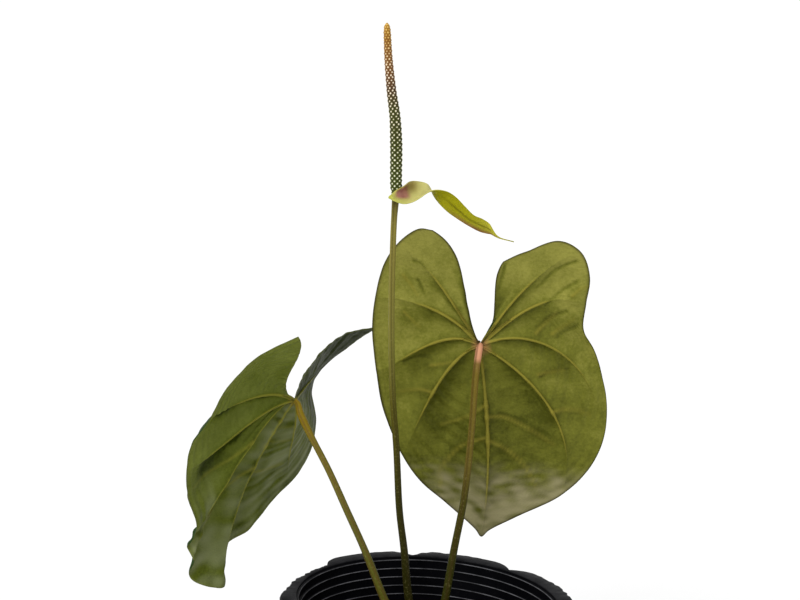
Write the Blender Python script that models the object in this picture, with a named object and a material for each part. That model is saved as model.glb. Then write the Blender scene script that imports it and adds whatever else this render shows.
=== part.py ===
"""A young anthurium in a thin black nursery pot.

Lengths are in millimetres here and become metres in add_solid. The origin is the centre of the
pot's underside, +Z is up and the front is -Y. Both leaves turn their undersides to the front.
Every piece is one closed solid, and neighbouring pieces stay clear of each other by GAP or more.
"""

import math

import bmesh
import bpy
import numpy as np

MM = 0.001
GAP = 0.3

# Pot
POT_HEIGHT = 125.0
FLANGE_RADIUS = 75.3
FLANGE_NOTCHES = (3, 51, 97, 141, 197, 236, 281, 325)  # degrees: the flange is cut back to the wall
NOTCH_DEPTH = ((0, 6.3), (5, 2.1), (10, 0))  # by degrees from the middle of a notch
LOBE_STEPS = 5  # between the shoulders of a lobe of the flange
FLANGE_THICKNESS = 0.9
SKIRT_DROP = 2.6
MOUTH_RADIUS = 66.5  # inside, at the rim
SHOULDER_Z = 99.0  # the wall is steeper below this height
SHOULDER_RADIUS = 60.8
BASE_RADIUS = 48.0  # inside, at the floor
WALL = 0.8
FLOOR = 1.2
RIB_TOP_Z = 123.2
RIB_PITCH = 4.4
RIB_COUNT = 6
RIB_HEIGHT = 0.9
DRAIN_HOLES = 8
DRAIN_RADIUS = 4.0
DRAIN_CIRCLE = 36.0

# Mix and crown
MIX_Z = 86.0
CROWN_CENTRE = (-1.5, 0.5)
CROWN_TOP = 93.0
CROWN_BOTTOM = 74.0
CROWN_PROFILE = ((CROWN_BOTTOM, 7.0), (78.0, 8.6), (84.0, 9.4), (89.0, 9.5), (CROWN_TOP, 8.9))
POCKET_RADIUS = 10.2

# Stalks: the middle line from the crown upwards, and the radius at shares of its length
PEDUNCLE = [
    (-1, -4.5, 93.3), (-9.8, -3, 125), (-13.9, -4, 152), (-17.4, -4, 172), (-20.7, -4, 203),
    (-23.9, -4, 228), (-26.1, -3, 253), (-27.5, -2, 278), (-28.2, -1, 297), (-28.6, 0, 317),
    (-28.4, 0, 330),
]  # fmt: skip
PEDUNCLE_RADII = ((0, 2.8), (0.06, 2.3), (0.14, 2.1), (0.3, 1.8), (0.7, 1.5), (0.95, 1.5), (1, 1.9))
PETIOLE_LARGE = [
    (3.5, 4, 93.3), (8.6, 9, 122), (11.7, 13, 148), (14.8, 16, 171), (16.1, 18, 190),
    (16.8, 21, 211), (17.2, 25, 237), (18.2, 28, 249.5),
]  # fmt: skip
PETIOLE_LARGE_RADII = ((0, 2.7), (0.1, 2.2), (0.35, 1.9), (0.85, 1.7), (0.92, 2.0), (1, 1.5))
PETIOLE_LEFT = [
    (-7, 2.5, 93.3), (-22.1, 5, 121.5), (-33.7, 9, 146), (-44, 12, 165.5), (-54.3, 15, 185),
    (-65.3, 19, 203), (-70.4, 22, 212), (-72, 24.4, 216.2),
]  # fmt: skip
PETIOLE_LEFT_RADII = ((0, 2.7), (0.1, 2.3), (0.4, 1.9), (0.82, 1.7), (0.93, 2.1), (1, 1.6))
STALK_SIDES = 10

# Spadix
SPADIX = [
    (-28.4, 0, 330.4), (-29, 0, 340), (-29.6, 0, 352), (-31.1, -1, 367), (-33.4, -1, 379),
    (-35.7, -2, 394), (-36.7, -2, 403), (-37.5, -2, 411.5),
]  # fmt: skip
SPADIX_RADII = ((0, 2.2), (0.04, 2.9), (0.3, 3.0), (0.5, 2.6), (0.75, 2.0), (0.94, 1.6), (1, 0.5))

# Blade of the large leaf: x and z from its junction; the hang gives y
LARGE_JUNCTION = (18.5, 31.0, 251.0)
LARGE_MARGIN = [
    (-28, 59.8), (-35, 60), (-44.5, 52), (-51, 39.5), (-54.5, 22), (-55, 4), (-52, -18.5),
    (-46, -42.5), (-36, -64), (-25, -78), (-12, -88), (4.6, -101.4), (8, -105.2), (12, -101.6),
    (26, -93.6), (48.7, -81), (62.2, -66.2), (68.6, -47.2), (67, -24), (60, -4), (52, 9.5),
    (51.5, 25), (52, 40), (46, 53), (34, 58), (19, 52), (8, 45.5),
]  # fmt: skip
LARGE_RIBS = {  # margin point: the rib a third and two thirds of the way out
    0: ((-8, 21.5), (-14, 43.5)),
    2: ((-13, 19), (-28, 38)),
    4: ((-17, 14), (-35.5, 21)),
    6: ((-20, 1), (-38, -10)),
    8: ((-16.5, -17), (-28, -43)),
    12: ((5.5, -33), (9, -68)),
    15: ((26.5, -19), (46, -47)),
    17: ((25, 4.5), (51, -10.5)),
    21: ((17, 17), (34, 26.5)),
    23: ((10, 18), (25, 38)),
    26: ((5.5, 15), (5, 31)),
}
LARGE_QUILT = (0.6, 2.2, 2.4, 2.4, 2.6, 2.6, 2.4, 2.2, 1.4, 0.6)

# Blade of the left leaf, whose right half turns away to the back
LEFT_JUNCTION = (-74, 26, 217.3)
LEFT_MARGIN = [
    (-72, 1, 256), (-83, -3, 251), (-95, -9, 243), (-106, -14, 230), (-112, -17, 217),
    (-120, -18, 205), (-122.5, -16, 190), (-123, -9, 173), (-119, -3, 161), (-119.3, 4, 150),
    (-122.3, 7, 142), (-120.5, 10, 134.7), (-122.7, 13.5, 126.6), (-119.3, 18, 120), (-106.4, 28, 115.4),
    (-109.3, 31, 123.2), (-106.1, 36, 134.8), (-96, 41, 142), (-87, 49, 152.5), (-76, 60, 163), (-67.5, 69, 177),
    (-64.5, 79, 193), (-68, 86, 208), (-64, 86, 220), (-49.5, 82, 234.2), (-34, 75, 247.6),
]  # fmt: skip
LEFT_RIBS = {
    0: ((-77.6, 18, 229.8), (-72.3, 10, 243.4)),
    4: ((-87, 11, 223.5), (-101, -2, 221)),
    6: ((-91, 13, 211), (-108.5, -1, 198)),
    9: ((-89, 19, 204), (-107.5, 9, 173)),
    14: ((-86, 27, 197), (-100, 26, 161)),
    19: ((-74, 38, 201), (-76.5, 48, 182)),
    23: ((-71, 44, 219), (-67, 64, 221)),
    25: ((-69.5, 41, 229.5), (-57, 58, 242)),
}
LEFT_QUILT = (2.0, 4.5, 4.5, 1.8, 2.5, 2.0, 1.0)
BLADE_THICKNESS = 0.8

# Spathe: matching points on its back edge and its front edge, from the stalk to the tip
SPATHE_BACK = [
    (-31.7, -4, 329), (-28.5, -4.6, 332), (-24.9, -2, 334), (-21.6, 2.5, 336), (-17.7, 4, 336),
    (-13.7, 4, 335), (-11.8, 4.5, 332.6), (-10.4, 4, 329.8), (-7.7, 3, 326.4), (-3.3, 2, 322.5),
    (2.3, 1.5, 319), (7.8, 1.5, 316), (13.4, 1.5, 313.5), (18, 1.5, 312.5), (22, 1, 310.5),
    (30, 1, 309.2),
]  # fmt: skip
SPATHE_FRONT = [
    (-32, -4, 328), (-28.2, -5, 326.5), (-24.3, -6, 326), (-20.5, -6, 327), (-17, -5, 329),
    (-13.8, -3, 331.3), (-11, -2, 332.7), (-7.3, -1, 333), (-2.9, 0, 332), (1.1, 0.5, 329.5),
    (5.3, 1, 325.5), (9.9, 1, 321.5), (14, 1, 320), (17.5, 1, 318), (22.5, 1, 312.5),
    (30.2, 1, 310),
]  # fmt: skip
SPATHE_THICKNESS = 0.7

# Dry sheaths at the crown: middle direction in degrees, half width in degrees, height
CATAPHYLLS = {"cataphyll_front": (-62, 38, 25), "cataphyll_back": (112, 34, 19)}
CATAPHYLL_RADIUS = 10.4
CATAPHYLL_THICKNESS = 0.6

# Roots: direction in degrees, reach from the crown, height where they leave it
ROOTS = {
    "aerial_root_left": (200, 21, 91.5),
    "aerial_root_right": (-8, 17, 90.5),
    "aerial_root_back": (62, 15, 92.0),
}
ROOT_RADIUS = 1.4


def clear_scene():
    for obj in list(bpy.data.objects):
        bpy.data.objects.remove(obj, do_unlink=True)


def material(name, colour, roughness):
    made = bpy.data.materials.new(name)
    made.use_nodes = True
    shader = made.node_tree.nodes["Principled BSDF"]
    shader.inputs["Base Color"].default_value = (*colour, 1)
    shader.inputs["Roughness"].default_value = roughness
    shader.inputs["Metallic"].default_value = 0
    made.diffuse_color = (*colour, 1)
    return made


def add_solid(name, points, faces, look, sharp_degrees=40):
    """One closed mesh object, from points in millimetres."""
    mesh = bpy.data.meshes.new(name)
    mesh.from_pydata([tuple(float(v) * MM for v in p) for p in points], [], faces)
    shape = bmesh.new()
    shape.from_mesh(mesh)
    bmesh.ops.recalc_face_normals(shape, faces=shape.faces)
    shape.to_mesh(mesh)
    shape.free()
    mesh.shade_smooth()
    mesh.set_sharp_from_angle(angle=math.radians(sharp_degrees))
    mesh.materials.append(look)
    obj = bpy.data.objects.new(name, mesh)
    bpy.context.collection.objects.link(obj)
    return obj


def hermite(knots, values, at):
    """A smooth curve through values at the knots, read at the given places."""
    knots, values, at = (np.asarray(v, float) for v in (knots, values, at))
    slopes = np.gradient(values, knots, axis=0)
    i = np.clip(np.searchsorted(knots, at, side="right") - 1, 0, len(knots) - 2)
    width = (knots[i + 1] - knots[i])[:, None]
    s = (at - knots[i])[:, None] / width
    return (
        (2 * s**3 - 3 * s**2 + 1) * values[i]
        + (s**3 - 2 * s**2 + s) * width * slopes[i]
        + (3 * s**2 - 2 * s**3) * values[i + 1]
        + (s**3 - s**2) * width * slopes[i + 1]
    )


def knots_of(points):
    """Knots spaced by the square root of the distance between points, which stops overshoot."""
    steps = np.linalg.norm(np.diff(points, axis=0), axis=1)
    return np.concatenate([[0], np.cumsum(np.sqrt(steps))])


def smooth(points, count):
    points = np.array(points, float)
    knots = knots_of(points)
    return hermite(knots, points, np.linspace(0, knots[-1], count))


def directions(path):
    steps = np.gradient(path, axis=0)
    return steps / np.linalg.norm(steps, axis=1)[:, None]


def tube(name, points, radii, rings, look, sides=STALK_SIDES, level_foot=True):
    """A round stalk along a smooth line, with flat ends. A level foot stands flat on what is below."""
    path = smooth(points, rings)
    ahead = directions(path)
    if level_foot:
        ahead[0] = (0, 0, 1)
    length = np.concatenate([[0], np.cumsum(np.linalg.norm(np.diff(path, axis=0), axis=1))])
    radius = np.interp(length / length[-1], *zip(*radii))
    side = np.cross(ahead[0], (0, 1, 0))
    verts = []
    for centre, forward, r in zip(path, ahead, radius):
        side = side - forward * side.dot(forward)
        side /= np.linalg.norm(side)
        up = np.cross(forward, side)
        for k in range(sides):
            turn = math.tau * k / sides
            verts.append(centre + r * (math.cos(turn) * side + math.sin(turn) * up))
    faces = [
        (a * sides + k, a * sides + (k + 1) % sides, (a + 1) * sides + (k + 1) % sides, (a + 1) * sides + k)
        for a in range(rings - 1)
        for k in range(sides)
    ]
    faces.append(tuple(range(sides)))
    faces.append(tuple(range((rings - 1) * sides, rings * sides)))
    return add_solid(name, verts, faces, look)


def lathe(name, profiles, look):
    """A solid of revolution about Z whose closed (radius, z) profile may change with the angle.

    profiles maps each angle in degrees to its profile; all have the same number of points. A
    point of radius 0 is shared by every angle.
    """
    verts, rows = [], []
    shared = {}
    for angle, profile in profiles.items():
        turn = math.radians(angle)
        row = []
        for k, (r, z) in enumerate(profile):
            if r == 0 and k in shared:
                row.append(shared[k])
                continue
            if r == 0:
                shared[k] = len(verts)
            row.append(len(verts))
            verts.append((r * math.cos(turn), r * math.sin(turn), z))
        rows.append(row)
    faces = []
    for here, there in zip(rows, rows[1:] + rows[:1]):
        for k in range(len(here)):
            j = (k + 1) % len(here)
            corners = list(dict.fromkeys((here[k], here[j], there[j], there[k])))
            if len(corners) > 2:
                faces.append(tuple(corners))
    return add_solid(name, verts, faces, look)


def cut(obj, cutter_points, cutter_faces, name):
    """Takes a closed cutter out of obj with an exact Boolean."""
    cutter = add_solid(name, cutter_points, cutter_faces, obj.data.materials[0])
    cutter.hide_render = True
    cutter.display_type = "WIRE"
    step = obj.modifiers.new(name, "BOOLEAN")
    step.operation = "DIFFERENCE"
    step.solver = "EXACT"
    step.object = cutter


def cylinders(centres, radius, bottom, top, sides):
    """Points and faces of upright cylinders with these centres."""
    points, faces = [], []
    for x, y in centres:
        first = len(points)
        for z in (bottom, top):
            for k in range(sides):
                turn = math.tau * k / sides
                points.append((x + radius * math.cos(turn), y + radius * math.sin(turn), z))
        low = list(range(first, first + sides))
        high = list(range(first + sides, first + 2 * sides))
        faces += [(low[k], low[k - 1], high[k - 1], high[k]) for k in range(sides)]
        faces += [tuple(low), tuple(high)]
    return points, faces


def inner_radius(z):
    """Inside radius of the pot's plain wall at a height."""
    return float(np.interp(z, (FLOOR, SHOULDER_Z, POT_HEIGHT), (BASE_RADIUS, SHOULDER_RADIUS, MOUTH_RADIUS)))


def pot_profile(flange):
    """The pot's section: floor, ribbed inside, flange with its skirt, and plain outside."""
    lip = POT_HEIGHT - FLANGE_THICKNESS
    section = [(0, FLOOR), (BASE_RADIUS, FLOOR), (SHOULDER_RADIUS, SHOULDER_Z)]
    for k in reversed(range(RIB_COUNT)):
        z = RIB_TOP_Z - k * RIB_PITCH
        if z - 1.1 < SHOULDER_Z:
            continue
        section.append((inner_radius(z - 1.1), z - 1.1))
        section.append((inner_radius(z) - RIB_HEIGHT, z))
        section.append((inner_radius(z + 1.1), z + 1.1))
    section += [
        (MOUTH_RADIUS, POT_HEIGHT),
        (flange, POT_HEIGHT),
        (flange, POT_HEIGHT - SKIRT_DROP),
        (flange - FLANGE_THICKNESS, POT_HEIGHT - SKIRT_DROP),
        (flange - FLANGE_THICKNESS, lip),
        (inner_radius(lip) + WALL, lip),
        (SHOULDER_RADIUS + WALL, SHOULDER_Z),
        (BASE_RADIUS + WALL, 0),
        (0, 0),
    ]
    return section


def build_pot(look):
    shoulder = NOTCH_DEPTH[-1][0]
    profiles = {}
    for notch, following in zip(FLANGE_NOTCHES, FLANGE_NOTCHES[1:] + (FLANGE_NOTCHES[0] + 360,)):
        for past, depth in NOTCH_DEPTH:
            profiles[notch + past] = pot_profile(FLANGE_RADIUS - depth)
        for angle in np.linspace(notch + shoulder, following - shoulder, LOBE_STEPS + 1)[1:]:
            profiles[angle] = pot_profile(FLANGE_RADIUS)
        past, depth = NOTCH_DEPTH[1]
        profiles[following - past] = pot_profile(FLANGE_RADIUS - depth)
    pot = lathe("pot", profiles, look)
    turns = [math.tau * k / DRAIN_HOLES for k in range(DRAIN_HOLES)]
    centres = [(DRAIN_CIRCLE * math.cos(t), DRAIN_CIRCLE * math.sin(t)) for t in turns]
    cut(pot, *cylinders(centres, DRAIN_RADIUS, -2, FLOOR + 2, 12), "drain_hole_cutter")


def build_mix(look):
    bottom = FLOOR + GAP
    section = [
        (0, bottom),
        (inner_radius(bottom) - GAP, bottom),
        (inner_radius(MIX_Z) - GAP, MIX_Z - 1.5),
        (inner_radius(MIX_Z) - 4, MIX_Z),
        (0, MIX_Z),
    ]
    mix = lathe("potting_mix", {k * 7.5: section for k in range(48)}, look)
    pocket = cylinders([CROWN_CENTRE], POCKET_RADIUS, CROWN_BOTTOM - GAP, MIX_Z + 5, 24)
    cut(mix, *pocket, "crown_pocket_cutter")


def build_crown(look):
    points = [(*CROWN_CENTRE, z) for z, _ in CROWN_PROFILE]
    share = [(z - CROWN_BOTTOM) / (CROWN_TOP - CROWN_BOTTOM) for z, _ in CROWN_PROFILE]
    radii = list(zip(share, (r for _, r in CROWN_PROFILE)))
    tube("crown", points, radii, 9, look, sides=20)


def thicken(name, grid, thickness, look):
    """A closed sheet of even thickness about a grid of points."""
    rows, columns = grid.shape[:2]
    normal = np.cross(np.gradient(grid, axis=0), np.gradient(grid, axis=1))
    normal /= np.linalg.norm(normal, axis=2)[:, :, None]
    verts = np.concatenate([(grid + side * normal * thickness / 2).reshape(-1, 3) for side in (1, -1)])
    under = rows * columns
    faces = []
    for a in range(rows - 1):
        for b in range(columns - 1):
            quad = (a * columns + b, a * columns + b + 1, (a + 1) * columns + b + 1, (a + 1) * columns + b)
            faces.append(quad)
            faces.append(tuple(v + under for v in reversed(quad)))
    edge = [b for b in range(columns)]
    edge += [a * columns + columns - 1 for a in range(1, rows)]
    edge += [(rows - 1) * columns + b for b in reversed(range(columns - 1))]
    edge += [a * columns for a in reversed(range(1, rows - 1))]
    faces += [(v, w, w + under, v + under) for v, w in zip(edge, edge[1:] + edge[:1])]
    return add_solid(name, verts, faces, look)


def blade_grid(junction, margin, ribs, quilt, steps, rays):
    """Points on a blade: rows step outwards from the junction, columns run round the margin.

    Between two ribs the blade swells to its upper side by the amount in quilt.
    """
    junction, margin = np.array(junction, float), np.array(margin, float)
    knots = knots_of(margin)
    rib_knots = knots[list(ribs)]
    along = np.unique(np.concatenate([
        np.linspace(rib_knots[i], rib_knots[i + 1], rays + 1) for i in range(len(ribs) - 1)
    ]))  # fmt: skip
    edge = hermite(knots, margin, along)
    ends = margin[list(ribs)]
    at_third = np.array([r[0] for r in ribs.values()]) - (2 * junction + ends) / 3
    at_two_thirds = np.array([r[1] for r in ribs.values()]) - (junction + 2 * ends) / 3
    bend_1 = hermite(rib_knots, at_third, along)
    bend_2 = hermite(rib_knots, at_two_thirds, along)
    out = np.linspace(0.07, 1, steps)[:, None, None]
    straight = junction + out * (edge - junction)
    grid = (
        straight
        + 13.5 * out * (1 - out) * (2 / 3 - out) * bend_1
        + 13.5 * out * (1 - out) * (out - 1 / 3) * bend_2
    )
    between = np.interp(along, rib_knots, np.arange(len(ribs)))
    share = between % 1
    depth = np.array(quilt)[np.minimum(between.astype(int), len(quilt) - 1)]
    swell = depth * np.sin(math.pi * share) ** 0.8
    share_out = out[:, 0, 0]
    rise = 3.3 * share_out**1.3 * (1 - share_out) ** 0.6
    normal = np.cross(np.gradient(grid, axis=1), np.gradient(grid, axis=0))
    normal /= np.linalg.norm(normal, axis=2)[:, :, None]
    return grid + normal * (rise[:, None] * swell)[:, :, None]


def blade(name, grid, junction, look):
    """The blade's solid: a fan of quads that closes at the junction."""
    steps, rays = grid.shape[:2]
    normal = np.cross(np.gradient(grid, axis=1), np.gradient(grid, axis=0))
    normal /= np.linalg.norm(normal, axis=2)[:, :, None]
    middle = normal[0].mean(axis=0)
    middle /= np.linalg.norm(middle)
    half = BLADE_THICKNESS / 2
    verts = []
    for side in (half, -half):
        verts.append(np.array(junction) + side * middle)
        verts += list((grid + side * normal).reshape(-1, 3))
    under = 1 + steps * rays
    faces = []
    for b in range(rays - 1):
        faces.append((0, 1 + b, 2 + b))
        faces.append((under, under + 2 + b, under + 1 + b))
        for a in range(steps - 1):
            quad = (1 + a * rays + b, 1 + (a + 1) * rays + b, 2 + (a + 1) * rays + b, 2 + a * rays + b)
            faces.append(quad)
            faces.append(tuple(v + under for v in reversed(quad)))
    edge = [0] + [1 + a * rays for a in range(steps)]
    edge += [1 + (steps - 1) * rays + b for b in range(1, rays)]
    edge += [1 + a * rays + rays - 1 for a in reversed(range(steps - 1))]
    faces += [(v, w, w + under, v + under) for v, w in zip(edge, edge[1:] + edge[:1])]
    return add_solid(name, verts, faces, look, sharp_degrees=60)


def hang(x, z):
    """Distance to the back of the large blade, which leans to the front above its junction."""
    sag = 0.0018 * z * z if z < 0 else 0
    return -0.30 * z - sag + 0.0012 * x * x


def large_point(flat):
    """A point of the large blade from its (x, z) in the blade's own frame."""
    x, z = flat
    jx, jy, jz = LARGE_JUNCTION
    return (jx + x, jy + hang(x, z), jz + z)


def build_blades(look_large, look_left):
    margin = [large_point(p) for p in LARGE_MARGIN]
    ribs = {k: tuple(large_point(p) for p in pair) for k, pair in LARGE_RIBS.items()}
    grid = blade_grid(LARGE_JUNCTION, margin, ribs, LARGE_QUILT, 9, 5)
    blade("leaf_blade_large", grid, LARGE_JUNCTION, look_large)
    grid = blade_grid(LEFT_JUNCTION, LEFT_MARGIN, LEFT_RIBS, LEFT_QUILT, 10, 7)
    blade("leaf_blade_left", grid, LEFT_JUNCTION, look_left)


def build_spathe(look):
    """A twisted strip, hollowed between its two edges."""
    back = smooth(SPATHE_BACK, 46)
    front = smooth(SPATHE_FRONT, 46)
    across = np.linspace(0, 1, 5)[:, None, None]
    thicken("spathe", back + across * (front - back), SPATHE_THICKNESS, look)


def build_cataphylls(look):
    """Dry sheaths: curved plates that narrow to a point and lean out a little."""
    for name, (middle, half_width, height) in CATAPHYLLS.items():
        grid = []
        for up in np.linspace(0, 1, 6):
            width = half_width * (1 - 0.85 * up**1.6)
            radius = CATAPHYLL_RADIUS + 2.5 * up**2
            turns = np.radians(middle + width * np.linspace(-1, 1, 7))
            z = MIX_Z + GAP + 0.2 + height * up
            x, y = CROWN_CENTRE
            grid.append([(x + radius * math.cos(t), y + radius * math.sin(t), z) for t in turns])
        thicken(name, np.array(grid), CATAPHYLL_THICKNESS, look)


def build_roots(look):
    """Stubby roots that leave the crown level, bend down and end on the mix."""
    for name, (turn, reach, z) in ROOTS.items():
        cx, cy = CROWN_CENTRE
        c, s = math.cos(math.radians(turn)), math.sin(math.radians(turn))
        low = MIX_Z + GAP + ROOT_RADIUS
        stations = ((10.2, z), (reach * 0.7, z - 0.4), (reach * 0.9, (z + low) / 2), (reach, low))
        path = [(cx + r * c, cy + r * s, h) for r, h in stations]
        radii = ((0, ROOT_RADIUS), (0.8, ROOT_RADIUS), (1, 0.7))
        tube(name, path, radii, 8, look, sides=8, level_foot=False)


def main():
    clear_scene()
    black_plastic = material("black_plastic", (0.012, 0.012, 0.014), 0.42)
    bark_mix = material("bark_mix", (0.10, 0.06, 0.035), 0.95)
    stem_bark = material("crown_skin", (0.16, 0.15, 0.06), 0.75)
    dry_sheath = material("dry_sheath", (0.32, 0.20, 0.10), 0.85)
    root_skin = material("root_skin", (0.42, 0.36, 0.22), 0.8)
    olive_stalk = material("peduncle_skin", (0.12, 0.12, 0.03), 0.5)
    brown_stalk = material("petiole_large_skin", (0.17, 0.14, 0.05), 0.5)
    green_stalk = material("petiole_left_skin", (0.22, 0.22, 0.07), 0.5)
    olive_leaf = material("large_leaf_skin", (0.20, 0.21, 0.045), 0.5)
    green_leaf = material("left_leaf_skin", (0.10, 0.15, 0.035), 0.45)
    yellow_spathe = material("spathe_skin", (0.50, 0.52, 0.14), 0.45)
    green_spadix = material("spadix_skin", (0.20, 0.22, 0.06), 0.6)

    build_pot(black_plastic)
    build_mix(bark_mix)
    build_crown(stem_bark)
    build_cataphylls(dry_sheath)
    build_roots(root_skin)
    tube("peduncle", PEDUNCLE, PEDUNCLE_RADII, 24, olive_stalk)
    tube("petiole_large_leaf", PETIOLE_LARGE, PETIOLE_LARGE_RADII, 18, brown_stalk)
    tube("petiole_left_leaf", PETIOLE_LEFT, PETIOLE_LEFT_RADII, 18, green_stalk)
    build_blades(olive_leaf, green_leaf)
    build_spathe(yellow_spathe)
    tube("spadix", SPADIX, SPADIX_RADII, 14, green_spadix, sides=12)


main()
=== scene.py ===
"""The looks of a young anthurium in a thin black nursery pot.

Lengths are in millimetres and become metres in add_piece. Colours are given as a screen shows
them, 0 to 255. The curves of the stalks, the blades, the spathe and the pot are the CAD part's
own, so each fine piece lies in its solid's place. Both leaves turn their undersides to the
front (-Y).
"""

import math

import bpy
import numpy as np
from mathutils import Matrix


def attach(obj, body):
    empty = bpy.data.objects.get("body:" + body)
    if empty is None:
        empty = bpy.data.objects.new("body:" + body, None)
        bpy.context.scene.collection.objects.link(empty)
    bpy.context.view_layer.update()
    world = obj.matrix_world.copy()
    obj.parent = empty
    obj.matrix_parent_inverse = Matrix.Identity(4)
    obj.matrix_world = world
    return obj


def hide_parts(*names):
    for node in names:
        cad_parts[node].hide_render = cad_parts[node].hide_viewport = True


MM = 0.001

# Pot
POT_HEIGHT = 125.0
FLANGE_RADIUS = 75.3
FLANGE_NOTCHES = (3, 51, 97, 141, 197, 236, 281, 325)
NOTCH_DEPTH = 6.3
NOTCH_HALF_WIDTH = 11.0  # degrees
PRESSED_LOBE = ((138, 0), (143, 6.2), (150, 5.9), (165, 4.4), (178, 2.6), (186, 0))  # degrees, cut
FLANGE_THICKNESS = 0.9
SKIRT_DROP = 2.6
MOUTH_RADIUS = 66.5
SHOULDER_Z = 99.0
SHOULDER_RADIUS = 60.8
BASE_RADIUS = 48.0
WALL = 0.8
FLOOR = 1.2
RIB_TOP_Z = 123.2
RIB_PITCH = 4.4
RIB_COUNT = 5
RIB_HEIGHT = 0.9
RIB_HALF_WIDTH = 0.6
DRAIN_HOLES = 8
DRAIN_RADIUS = 4.0
DRAIN_CIRCLE = 36.0
POT_TURNS = 480

# Mix, crown, sheaths and roots
MIX_Z = 86.0
MIX_GAP = 0.6  # to the pot's wall
MIX_SKIRT = 16.0  # depth of the ring that hangs from the bed's edge
BED_DROP = 2.2
BED_RINGS, BED_TURNS = 34, 96
CHIP_COUNT = 620
CHIP_CLEARANCE = 9.5  # from the crown's middle
CROWN_CENTRE = (-1.5, 0.5)
CROWN_PROFILE = (
    (74.0, 7.0), (78.0, 8.6), (84.0, 9.4), (89.0, 9.5), (92.2, 8.9), (93.2, 6.4), (93.4, 0.4),
)  # fmt: skip
CATAPHYLLS = {"cataphyll_front": (-62, 38, 25), "cataphyll_back": (112, 34, 19)}
CATAPHYLL_RADIUS = 10.4
CATAPHYLL_THICKNESS = 0.35
ROOTS = {
    "aerial_root_left": (200, 21, 91.5),
    "aerial_root_right": (-8, 17, 90.5),
    "aerial_root_back": (62, 15, 92.0),
}
ROOT_RADIUS = 1.4

# Stalks: the middle line from the crown upwards, and the radius at shares of its length
PEDUNCLE = [
    (-1, -4.5, 92.6), (-9.8, -3, 125), (-13.9, -4, 152), (-17.4, -4, 172), (-20.7, -4, 203),
    (-23.9, -4, 228), (-26.1, -3, 253), (-27.5, -2, 278), (-28.2, -1, 297), (-28.6, 0, 317),
    (-28.4, 0, 331),
]  # fmt: skip
PEDUNCLE_RADII = ((0, 2.8), (0.06, 2.3), (0.14, 2.1), (0.3, 1.8), (0.7, 1.5), (0.95, 1.5), (1, 1.9))
PETIOLE_LARGE = [
    (3.5, 4, 92.6), (8.6, 9, 122), (11.7, 13, 148), (14.8, 16, 171), (16.1, 18, 190),
    (16.8, 21, 211), (17.2, 25, 237), (18.2, 28, 249.5), (18.6, 30.6, 251.2),
]  # fmt: skip
PETIOLE_LARGE_RADII = ((0, 2.7), (0.1, 2.2), (0.35, 1.9), (0.8, 1.75), (0.91, 1.9), (0.98, 1.8), (1, 1.4))
PETIOLE_LEFT = [
    (-7, 2.5, 92.6), (-22.1, 5, 121.5), (-33.7, 9, 146), (-44, 12, 165.5), (-54.3, 15, 185),
    (-65.3, 19, 203), (-70.4, 22, 212), (-72, 24.4, 216.2), (-73.6, 25.8, 217.6),
]  # fmt: skip
PETIOLE_LEFT_RADII = ((0, 2.7), (0.1, 2.3), (0.4, 1.9), (0.82, 1.7), (0.92, 2.0), (0.97, 1.7), (1, 1.1))

# Spadix
SPADIX = [
    (-28.4, 0, 330), (-29, 0, 340), (-29.6, 0, 352), (-31.1, -1, 367), (-33.4, -1, 379),
    (-35.7, -2, 394), (-36.7, -2, 403), (-37.5, -2, 411.3),
]  # fmt: skip
SPADIX_RADII = (
    (0, 2.0), (0.04, 2.7), (0.3, 2.8), (0.5, 2.4), (0.75, 1.85), (0.95, 1.5), (0.985, 1.1), (1, 0.3),
)  # fmt: skip
FLOWER_ROW = 1.25  # between rows of flowers
FLOWERS_ROUND = 7
DOME_HEIGHT = 0.34

# Both blades
BLADE_HALF = 0.26  # half the thickness
RIM_THINNING = 0.14
RIB_STANDS, RIB_GROOVE = 0.95, 0.45  # below the blade, and above it
VEIN_STANDS, VEIN_GROOVE = 0.26, 0.12
VEIN_WIDTH = 0.9
HUB_HEIGHTS = (0.3, -1.2)  # upper and lower middle of the blade at its stalk
BLADE_ROWS = 100

# Large blade, as x and z from its junction. A quilt is the swelling between two ribs
LARGE_JUNCTION = (18.5, 31.0, 251.0)
LARGE_MARGIN = [
    (-28, 59.8), (-35, 60), (-44.5, 52), (-51, 39.5), (-54.5, 22), (-55, 4), (-52, -18.5),
    (-46, -42.5), (-36, -64), (-25, -78), (-12, -88), (4.6, -101.4), (8, -105.2), (12, -101.6),
    (26, -93.6), (48.7, -81), (62.2, -66.2), (68.6, -47.2), (67, -24), (60, -4), (52, 9.5),
    (51.5, 25), (52, 40), (46, 53), (34, 58), (19, 52), (8, 45.5),
]  # fmt: skip
LARGE_RIBS = {  # margin point: the rib a third and two thirds of the way out
    0: ((-8, 21.5), (-14, 43.5)),
    2: ((-13, 19), (-28, 38)),
    4: ((-17, 14), (-35.5, 21)),
    6: ((-20, 1), (-38, -10)),
    8: ((-16.5, -17), (-28, -43)),
    12: ((5.5, -33), (9, -68)),
    15: ((26.5, -19), (46, -47)),
    17: ((25, 4.5), (51, -10.5)),
    21: ((17, 17), (34, 26.5)),
    23: ((10, 18), (25, 38)),
    26: ((5.5, 15), (5, 31)),
}
LARGE_GUIDES = {19: ((21.5, 11.5), (43, 9.5)), 25: ((7, 16.8), (13, 34))}  # rays that carry no rib
LARGE_QUILT = (0.6, 2.6, 3.0, 3.0, 3.2, 3.2, 3.0, 2.4, 1.8, 0.6)
LARGE_LEAN = ((0.8, 0.8),) * 10
LARGE_RAYS = 46  # from one rib to the next
LARGE_RIB_ENDS = (1.0, 0.80, 0.78, 0.82, 0.84, 0.97, 0.90, 0.86, 0.78, 0.80, 1.0)  # how far out
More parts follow.
